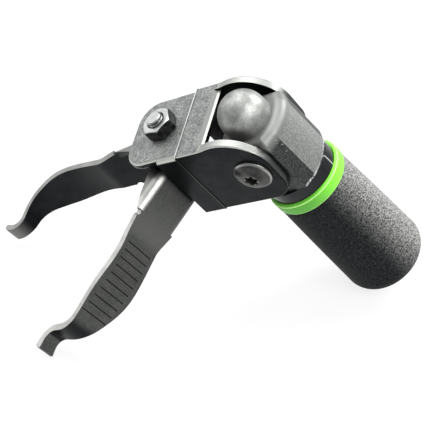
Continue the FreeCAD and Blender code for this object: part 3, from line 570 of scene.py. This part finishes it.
# %% Jaw finishes
def mix_jaw_finish(name, outwards, ahead, edge_brightness):
    """A blackened steel for the jaw whose outer face looks outwards and whose tip lies ahead.

    Edge brightness scales its pale edges and the painted highlight on its upper bend, as a share of full
    brightness.
    """
    def at_edge_brightness(red, green, blue):
        return (red * edge_brightness, green * edge_brightness, blue * edge_brightness)

    jaw = Finish(name, 0.9, 1700.0, 150.0)
    from_bolt = jaw.distance_from_axis(jaws)
    on_edge = jaw.faces(web_normal, 0.55, 0.8)
    hook = jaw.band(from_bolt, 82, OUT_OF_REACH, 2.5)
    # Painted sheen on the outer flat round the kink.
    painted_sheen = jaw.times(jaw.band(from_bolt, 26, 42, 8), 0.45)
    root_top = jaw.times(jaw.band(from_bolt, -1, 27, 3), on_edge)
    # Painted shadow over all that is close to the bolt.
    painted_shadow_at_bolt = jaw.band(from_bolt, -1, 15.5, 2.5)

    # The inner flat is painted near black as shade and the outer flat grey as lit: one steel, lit and shaded.
    inner = jaw.tones(jaw.mottle, (0.006, 0.007, 0.008), (0.014, 0.015, 0.016), 0.35, 0.65)
    outer = jaw.tones(jaw.height, (0.054, 0.057, 0.054), (0.112, 0.115, 0.109), 0.34, 0.66)
    outer = jaw.over(painted_sheen, outer, (0.19, 0.193, 0.185))
    # Painted shade where the hook bends in.
    outer = jaw.over(jaw.faces(ahead, 0.30, 0.62), outer, (0.010, 0.011, 0.012))
    # Painted highlight along the upper bend.
    bend_highlight = jaw.tones(jaw.mottle, at_edge_brightness(0.33, 0.33, 0.315), at_edge_brightness(0.50, 0.50, 0.475), 0.35, 0.65)
    sheared = jaw.tones(jaw.mottle, at_edge_brightness(0.48, 0.48, 0.455), at_edge_brightness(0.66, 0.66, 0.63), 0.35, 0.65)
    jaw.tone = jaw.over(hook, inner, (0.15, 0.152, 0.144))
    jaw.paint(jaw.faces(outwards, -0.1, 0.25), outer)
    jaw.paint(jaw.faces((outwards + web_normal).normalized(), 0.74, 0.98), bend_highlight)
    jaw.paint(on_edge, sheared)
    jaw.paint(root_top, (0.26, 0.263, 0.247))
    jaw.paint(painted_shadow_at_bolt, (0.010, 0.011, 0.012))
    return jaw.finished(jaw.between(jaw.mottle, 0.34, 0.48), 0.08, 0.06 * MM)


finishes["jaw_steel"] = mix_jaw_finish("jaw_steel_near", near_jaw_out, near_jaw_ahead, 1.0)
far_jaw_steel = mix_jaw_finish("jaw_steel_far", far_jaw_out, far_jaw_ahead, 0.58)
# Painted shadow: a near-black material for the grooves' floors and walls.
groove = Finish("groove_shadow", 0.3, 1700.0, 150.0)
groove.tone = groove.tones(groove.mottle, (0.004, 0.004, 0.004), (0.012, 0.012, 0.012))
groove_shadow = groove.finished(0.7, 0.1, 0.08 * MM)
print("finishes", finishes["jaw_steel"].name, far_jaw_steel.name, groove_shadow.name)

# %% [markdown]
# The nut and the bolt are zinc plated: bright on top and duller on the nut's chamfer. Their sides are painted near
# black as shade, and the gap between the thread and the nut gets a painted shadow.

# %% Plated finish
plating = Finish("bright_plating", 1.0, 1500.0, 400.0)
on_top = plating.faces(web_normal, 0.35, 0.65)
on_chamfer = plating.times(plating.faces(web_normal, 0.98, 0.90), on_top)
thread_gap_shadow = plating.band(plating.distance_from_axis(jaws), 3.15, 3.7, 0.12)
# The sides are painted near black, as shade.
plating.tone = plating.tones(plating.mottle, (0.012, 0.013, 0.014), (0.07, 0.07, 0.068), 0.36, 0.66)
plating.paint(on_top, plating.tones(plating.mottle, (0.50, 0.51, 0.50), (0.74, 0.74, 0.72)))
plating.paint(on_chamfer, (0.34, 0.35, 0.34))
# Painted shadow in the gap between the thread and the nut.
plating.paint(thread_gap_shadow, (0.012, 0.012, 0.012))
plating_rough = plating.between(plating.speckle, 0.2, 0.4)
finishes["bright_plating"] = plating.finished(plating_rough, 0.15, 0.05 * MM)
print("finish", plating.material.name)

# %% [markdown]
# Turned steel, spring wire and bronze differ only in their tone and in how smooth they are. The pivot screws'
# heads are darkened, with two pale rings painted on: one round the socket, and one at the rim, which is a painted
# highlight on the rounded rim.

# %% Turned steel, screw steel, spring wire and bronze
pivot_frame = frame_from(web_normal, along_bracket, ear_axis, pivot)
for slot, dark, light, sleek, coarse, pale_rings in (
        ("bearing_steel", (0.36, 0.37, 0.38), (0.56, 0.57, 0.58), 0.25, 0.4, ()),
        ("screw_steel", (0.026, 0.027, 0.026), (0.105, 0.107, 0.102), 0.25, 0.38,
         # The pale ring at the rim is a painted highlight.
         ((2.0, 2.6, (0.16, 0.162, 0.155)), (6.35, 7.0, (0.34, 0.345, 0.33)))),
        ("spring_wire", (0.16, 0.16, 0.165), (0.34, 0.34, 0.35), 0.28, 0.45, ()),
        ("bush_bronze", (0.36, 0.24, 0.11), (0.58, 0.42, 0.22), 0.3, 0.45, ())):
    metal = Finish(slot, 0.95, 1600.0, 200.0)
    metal.tone = metal.tones(metal.mottle, dark, light)
    if pale_rings:
        from_pivot = metal.distance_from_axis(pivot_frame)
    for inner_radius, outer_radius, pale in pale_rings:
        metal.paint(metal.band(from_pivot, inner_radius, outer_radius, 0.15), pale)
    finishes[slot] = metal.finished(metal.between(metal.speckle, sleek, coarse), 0.12, 0.05 * MM)
print("metal finishes:", sorted(finishes))

# %% [markdown]
# The collar between knuckle and grip is glossy black plastic with one pale mould seam. The ring is lime green
# plastic with a thin pale line along each edge, and it is painted darker on its low side, as shade. The grip is
# overmoulded in a soft black rubber with a fine pebbled skin. On the side that faces the light from the upper
# right its speckles are painted pale grey, a painted sheen, and they fade to black on the other side. The friction
# washers are plain dark plastic.

# %% Plastic and rubber finishes
collar = Finish("collar_plastic", 0.0, 900.0, 60.0)
collar.shader.inputs["Specular IOR Level"].default_value = 0.25
collar_place = collar.place_in(handle)
seam = collar.times(collar.band(collar_place["Y"], -0.25, 0.25, 0.12),
                    collar.band(collar_place["X"], 0.0, OUT_OF_REACH, 0.5))
collar.tone = collar.tones(collar.mottle, (0.004, 0.005, 0.006), (0.012, 0.013, 0.014))
collar.paint(seam, (0.34, 0.35, 0.33))
collar_rough = collar.between(collar.mottle, 0.10, 0.2)
finishes["collar_plastic"] = collar.finished(collar_rough, 0.05, 0.1 * MM)

washer = Finish("friction_washer", 0.0, 1200.0, 80.0)
washer.tone = washer.tones(washer.speckle, (0.03, 0.03, 0.03), (0.08, 0.08, 0.08))
finishes["friction_washer"] = washer.finished(0.55, 0.1, 0.08 * MM)

lime = Finish("accent_plastic", 0.0, 1100.0, 110.0)
lime_z = lime.place_in(handle)["Z"]
lime.tone = lime.tones(lime.mottle, (0.17, 0.70, 0.022), (0.24, 0.80, 0.040))
# Painted shade: the ring is darker on the side away from the light.
lime.paint(lime.faces(lit_side, 0.5, -0.6), (0.07, 0.33, 0.012))
for low, high in ((RING_TOP - 0.45, RING_TOP - 0.1), (GRIP_TOP - 0.05, GRIP_TOP + 0.3)):
    lime.paint(lime.band(lime_z, low, high, 0.12), (0.42, 0.86, 0.22))
finishes["accent_plastic"] = lime.finished(lime.between(lime.speckle, 0.38, 0.5), 0.12, 0.1 * MM)

rubber = Finish("grip_rubber", 0.0, 1650.0, 420.0)
rubber.shader.inputs["Specular IOR Level"].default_value = 0.1
# Painted sheen: pale grey speckles on the side that faces the light.
lit_side_speckle = rubber.tones(rubber.speckle, (0.03, 0.032, 0.03), (0.46, 0.46, 0.44), 0.38, 0.64)
rubber.tone = rubber.tones(rubber.speckle, (0.001, 0.002, 0.0025), (0.028, 0.030, 0.031),
                           0.42, 0.70)
rubber.paint(rubber.faces(lit_side, -0.30, 1.0), lit_side_speckle)
rubber_rough = rubber.between(rubber.speckle, 0.5, 0.75)
finishes["grip_rubber"] = rubber.finished(rubber_rough, 0.8, 0.28 * MM)
print("finishes:", sorted(finishes))

# %% [markdown]
# ## Helpers for pieces
#
# An operator acts on everything that is selected, so each step starts from nothing selected. When
# a piece is finished it is put in place, its place is applied to its mesh, and it is told which
# part of the tool it rides on and which finish it has.

# %% Helpers
def alone(piece):
    """Selects one object and nothing else."""
    if bpy.context.object and bpy.context.object.mode != "OBJECT":
        bpy.ops.object.mode_set(mode="OBJECT")
    bpy.ops.object.select_all(action="DESELECT")
    piece.hide_viewport = False
    piece.select_set(True)
    bpy.context.view_layer.objects.active = piece


def settle(piece, name, body, slot, place=None, stands_for=()):
    """Puts a finished piece in place, with its finish and what it rides on."""
    alone(piece)
    if place is not None:
        piece.matrix_world = place @ piece.matrix_world
    bpy.ops.object.transform_apply(location=True, rotation=True, scale=True)
    piece.name = name
    piece.data.name = name
    if not piece.data.materials:
        piece.data.materials.append(finishes[slot])
    if stands_for:
        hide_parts(*stands_for)
    if body:
        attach(piece, body)
    return piece


def with_modifier(piece, kind, **values):
    """Adds a modifier, sets it and applies it."""
    alone(piece)
    modifier = piece.modifiers.new(kind.lower(), kind)
    for name, value in values.items():
        setattr(modifier, name, value)
    bpy.ops.object.modifier_apply(modifier=modifier.name)
    return piece


def body_of(node):
    for body, members in frame["record"]["behaviour"]["bodies"].items():
        if node in members:
            return body


slot_of = {part["node"]: part["material_slot"] for part in frame["record"]["subparts"]}


def merged_copy(node):
    """A copy of a model piece whose loose triangles are joined into flat faces."""
    source = frame["nodes"][node]
    copy = source.copy()
    copy.data = source.data.copy()
    for key in list(copy.keys()):
        del copy[key]
    copy.parent = None
    copy.matrix_world = Matrix.Identity(4)
    bpy.context.scene.collection.objects.link(copy)
    copy.data.materials.clear()
    alone(copy)
    bpy.ops.object.mode_set(mode="EDIT")
    bpy.ops.mesh.select_all(action="SELECT")
    bpy.ops.mesh.remove_doubles(threshold=0.000002)
    bpy.ops.mesh.customdata_custom_splitnormals_clear()
    bpy.ops.mesh.dissolve_limited(angle_limit=math.radians(0.3))
    bpy.ops.object.mode_set(mode="OBJECT")
    return copy


def smooth(piece, sharp):
    """Smooth shading with corners sharper than sharp degrees kept, and flats kept flat."""
    alone(piece)
    bpy.ops.object.shade_smooth_by_angle(angle=math.radians(sharp))
    with_modifier(piece, "WEIGHTED_NORMAL", keep_sharp=True, weight=50)


def rounded_copy(node, edge, segments=2, sharp=32.0):
    """A merged copy of a model piece with its edges rounded over by edge, in metres."""
    copy = merged_copy(node)
    with_modifier(copy, "BEVEL", width=edge, segments=segments, limit_method="ANGLE",
                  angle_limit=math.radians(sharp), use_clamp_overlap=True)
    smooth(copy, sharp)
    return copy


print("helpers ready; casting has", len(frame["nodes"]["clevis_bracket"].data.vertices), "vertices")

# %% [markdown]
# ## Cast, stamped and turned pieces
#
# The model's pieces have perfectly sharp edges, and no real edge is. Each one is copied, its loose
# triangles are merged, and a Bevel modifier rounds the edges by a few tenths of a millimetre, so
# that they catch light.

# %% Round the edges of the model's pieces
edge_sizes = {
    "clevis_bracket": 0.3, "knuckle": 0.35, "jaw_nut": 0.25, "jaw_bolt": 0.08,
    "near_pivot_screw": 0.15, "far_pivot_screw": 0.15, "head_washer": 0.2, "bolt_sleeve": 0.1,
    "pivot_barrel": 0.1, "handle_liner": 0.2,
}
for node, edge in edge_sizes.items():
    copy = rounded_copy(node, edge * MM)
    settle(copy, node + "_finished", body_of(node), slot_of[node], stands_for=[node])
    print(node, "edges rounded by", edge, "mm,", len(copy.data.polygons), "faces")

# %% [markdown]
# ## Jaws
#
# A jaw's edges are rounded more than its grooves can bear, so the two are told apart first. The grooves' floors
# and walls are the only faces that are narrow along the jaw and keep well inside its long edges. They get a
# near-black material of their own, a painted shadow in the grooves, and a bevel weight of 0 keeps their edges
# sharp. The two corners of the tip have the full weight of 1, so they come out rounder than the rest.

# %% Jaws with grooves
# Sizes in millimetres, but the angle that makes an edge a corner is in radians.
SHEET = 2.4
GROOVE_LENGTH = 12.4
GROOVE_WIDTH = 0.6
GROOVES_START = 35
CORNER_ANGLE = 0.6
TIP_ROUNDING = 1.4
EDGE_WEIGHT = 0.3


def groove_faces(piece):
    """The faces of the finger grooves, by their size in the frame of the jaws."""
    to_jaws = jaws.inverted()
    found = []
    for face in piece.data.polygons:
        corners = [to_jaws @ piece.data.vertices[index].co for index in face.vertices]
        heights = [corner.z / MM for corner in corners]
        flat = [corner.to_2d() / MM for corner in corners]
        width = max((first - second).length for first in flat for second in flat)
        height = max(heights) - min(heights)
        far_along = min(point.length for point in flat) > GROOVES_START
        is_wall = abs(height - GROOVE_LENGTH) < 0.1 and width < GROOVE_WIDTH
        is_end = height < 0.01 and width < GROOVE_WIDTH + 0.1
        if far_along and (is_wall or is_end):
            found.append(face.index)
    return found


for node, outwards, steel in (("near_jaw", near_jaw_out, finishes["jaw_steel"]),
                              ("far_jaw", far_jaw_out, far_jaw_steel)):
    jaw = merged_copy(node)
    jaw.data.materials.append(steel)
    jaw.data.materials.append(groove_shadow)
    in_groove = groove_faces(jaw)
    groove_edges = set()
    for index in in_groove:
        jaw.data.polygons[index].material_index = 1
        groove_edges.update(jaw.data.polygons[index].edge_keys)
    to_jaws = jaws.inverted()
    reach = max((to_jaws @ vertex.co).to_2d().length for vertex in jaw.data.vertices)
    weights = jaw.data.attributes.new("bevel_weight_edge", "FLOAT", "EDGE")
    normals_at = {}
    for face in jaw.data.polygons:
        for key in face.edge_keys:
            normals_at.setdefault(key, []).append(face.normal)
    for edge in jaw.data.edges:
        normals = normals_at[edge.key]
        if edge.key in groove_edges or len(normals) != 2:
            continue
        if normals[0].angle(normals[1]) > CORNER_ANGLE:
            first, last = [to_jaws @ jaw.data.vertices[index].co for index in edge.vertices]
            is_level = abs(first.z - last.z) < 0.1 * MM
            across_sheet = is_level and (first - last).length < (SHEET + 0.1) * MM
            at_tip = min(first.to_2d().length, last.to_2d().length) > reach - (SHEET + 0.5) * MM
            weights.data[edge.index].value = 1.0 if across_sheet and at_tip else EDGE_WEIGHT
    with_modifier(jaw, "BEVEL", width=TIP_ROUNDING * MM, segments=3, limit_method="WEIGHT",
                  use_clamp_overlap=True)
    smooth(jaw, 32)
    settle(jaw, node + "_finished", body_of(node), "jaw_steel", stands_for=[node])
    print(node, "has", len(in_groove), "groove faces and", len(jaw.data.polygons), "faces")

# %% [markdown]
# The model's other pieces show as they are, so every model piece gets the finish of its slot.

# %% Finish the model's own pieces
for node, thing in frame["nodes"].items():
    thing.data.materials.clear()
    thing.data.materials.append(far_jaw_steel if node == "far_jaw" else finishes[slot_of[node]])
print("every model piece has its finish")

# %% [markdown]
# ## Grip
#
# The grip is a rubber sleeve, slightly fuller towards its end, with a generously rounded end. It
# is a turned shape, so it starts as a circle that is extruded from ring to ring.

# %% Turned shapes from rings
AXIS_GAP = 0.0001

# Sizes of the sleeve, in millimetres. The ring has the same bore.
BORE_RADIUS = 13.95
SIDE_RADIUS = 15.05
END_RADIUS = 16.75
END_ROUNDING = 6.8
END_WALL = 4.45
SIDE_END_RADIUS = 16.7
SIDE_BULGE = 0.12
SIDE_STEPS = 15
ROUNDING_STEPS = 14


def turned_from(stations, sides=96):
    """A closed shell of revolution about Z from (radius, height) stations in millimetres.

    A radius of 0 is a ring too small to see, so that it can grow again. Merging turns it to a
    point.
    """
    bpy.ops.object.select_all(action="DESELECT")
    bpy.ops.mesh.primitive_circle_add(vertices=sides, radius=stations[0][0] * MM,
                                      location=(0, 0, stations[0][1] * MM))
    piece = bpy.context.active_object
    bpy.ops.object.transform_apply(location=True)
    bpy.ops.object.mode_set(mode="EDIT")
    bpy.ops.mesh.select_all(action="SELECT")
    for (radius, height), (next_radius, next_height) in zip(stations, stations[1:]):
        bpy.ops.mesh.extrude_region_move(
            TRANSFORM_OT_translate={"value": (0, 0, (next_height - height) * MM)})
        share = max(next_radius, AXIS_GAP) / max(radius, AXIS_GAP)
        bpy.ops.transform.resize(value=(share, share, 1), center_override=(0, 0, next_height * MM))
    bpy.ops.mesh.select_all(action="SELECT")
    bpy.ops.mesh.remove_doubles(threshold=0.000001)
    bpy.ops.mesh.normals_make_consistent(inside=False)
    bpy.ops.object.mode_set(mode="OBJECT")
    return piece


def quarter(centre_radius, centre_height, size, start, end, steps):
    """Stations along an arc in the plane of a turned shape."""
    stations = []
    for step in range(steps + 1):
        angle = math.radians(start + (end - start) * step / steps)
        stations.append((centre_radius + size * math.cos(angle),
                         centre_height + size * math.sin(angle)))
    return stations


side_start = GRIP_TOP - 0.7
side_end = GRIP_BOTTOM + END_ROUNDING
grip_profile = [(BORE_RADIUS, GRIP_TOP), (14.5, GRIP_TOP), (14.9, GRIP_TOP - 0.25),
                (SIDE_RADIUS, side_start)]
for station in range(1, SIDE_STEPS):
    share = station / SIDE_STEPS
    radius = SIDE_RADIUS + (SIDE_END_RADIUS - SIDE_RADIUS) * share
    radius += SIDE_BULGE * math.sin(math.pi * share)
    grip_profile.append((radius, side_start + (side_end - side_start) * share))
grip_profile += quarter(END_RADIUS - END_ROUNDING, side_end, END_ROUNDING, 0, -90, ROUNDING_STEPS)
grip_profile += [(radius, GRIP_BOTTOM) for radius in (6.0, 2.0, 0.0)]
grip_profile += [(radius, GRIP_BOTTOM + END_WALL) for radius in (0.0, 6.0, BORE_RADIUS)]
grip_profile.append((BORE_RADIUS, GRIP_TOP))
grip = turned_from(grip_profile)
alone(grip)
bpy.ops.object.shade_smooth_by_angle(angle=math.radians(40))
settle(grip, "grip_sleeve_moulded", "handle", "grip_rubber", place=handle,
       stands_for=["grip_sleeve"])
print("grip:", len(grip.data.polygons), "faces")

# %% [markdown]
# ## Accent ring
#
# The green ring sits between the collar and the grip. Its upper edge has a thin inner lip that
# stands against the collar, a step below the outer face.

# %% Ring with its lip
ring_profile = [(BORE_RADIUS, RING_TOP + 0.35), (14.35, RING_TOP + 0.35), (14.5, RING_TOP + 0.2),
                (14.5, RING_TOP - 0.05), (14.95, RING_TOP - 0.1), (15.2, RING_TOP - 0.3),
                (15.3, RING_TOP - 0.7), (15.3, GRIP_TOP + 0.35), (15.15, GRIP_TOP + 0.05),
                (BORE_RADIUS, GRIP_TOP + 0.05), (BORE_RADIUS, RING_TOP + 0.35)]
ring = turned_from(ring_profile)
alone(ring)
bpy.ops.object.shade_smooth_by_angle(angle=math.radians(50))
settle(ring, "accent_ring_moulded", "handle", "accent_plastic", place=handle,
       stands_for=["accent_ring"])
print("ring:", len(ring.data.polygons), "faces")

# %% [markdown]
# ## Torsion spring
#
# A torsion spring between the jaws pushes them apart. Its coils are a small circle swept round by a Screw
# modifier, and a straight leg leaves each end along one jaw. On the real tool the coils wind up when the jaws
# close; this piece rides on neither jaw and does not bend.

# %% Spring
WIRE_RADIUS = 0.8
COIL_RADIUS = 6.3
COIL_HALF = 3.8
LEG_OFFSET = 2.3
LEG_REACH = 20.0
COIL_STEPS = 170
WHOLE_TURNS = 4
leg_start = math.sqrt(COIL_RADIUS ** 2 - LEG_OFFSET ** 2)
leg_angle = jaw_turn + math.atan2(LEG_OFFSET, leg_start)
coil_turns = WHOLE_TURNS + 2 * leg_angle / (2 * math.pi)

bpy.ops.object.select_all(action="DESELECT")
bpy.ops.mesh.primitive_circle_add(vertices=16, radius=WIRE_RADIUS * MM, fill_type="NGON",
                                  rotation=(math.pi / 2, 0, 0), location=(COIL_RADIUS * MM, 0, 0))
spring = bpy.context.active_object
bpy.ops.object.transform_apply(location=True, rotation=True)
with_modifier(spring, "SCREW", angle=2 * math.pi * coil_turns, screw_offset=2 * COIL_HALF * MM,
              steps=COIL_STEPS, render_steps=COIL_STEPS, use_smooth_shade=True)
spring.location = (0, 0, -COIL_HALF * MM)
spring.rotation_euler = (0, 0, -leg_angle)
bpy.ops.object.transform_apply(location=True, rotation=True)

legs = []
for side in (1, -1):
    heading = side * jaw_turn
    middle = Vector(((leg_start + LEG_REACH) / 2, side * LEG_OFFSET, 0)) * MM
    middle.rotate(Matrix.Rotation(heading, 3, "Z"))
    middle.z = side * COIL_HALF * MM
    bpy.ops.object.select_all(action="DESELECT")
    leg_length = (LEG_REACH - leg_start) * MM
    bpy.ops.mesh.primitive_cylinder_add(vertices=16, radius=WIRE_RADIUS * MM, depth=leg_length,
                                        location=middle, rotation=(0, math.pi / 2, heading))
    leg = bpy.context.active_object
    with_modifier(leg, "BEVEL", width=0.35 * MM, segments=3, limit_method="ANGLE")
    bpy.ops.object.shade_smooth_by_angle(angle=math.radians(50))
    legs.append(leg)
alone(spring)
for leg in legs:
    leg.select_set(True)
bpy.ops.object.join()
bpy.ops.object.mode_set(mode="EDIT")
bpy.ops.mesh.select_all(action="SELECT")
bpy.ops.mesh.normals_make_consistent(inside=False)
bpy.ops.object.mode_set(mode="OBJECT")
settle(spring, "jaw_spring_coils", None, "spring_wire", place=jaws, stands_for=["jaw_spring"])
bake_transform(spring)
print("spring:", round(coil_turns, 2), "turns,", len(spring.data.polygons), "faces")
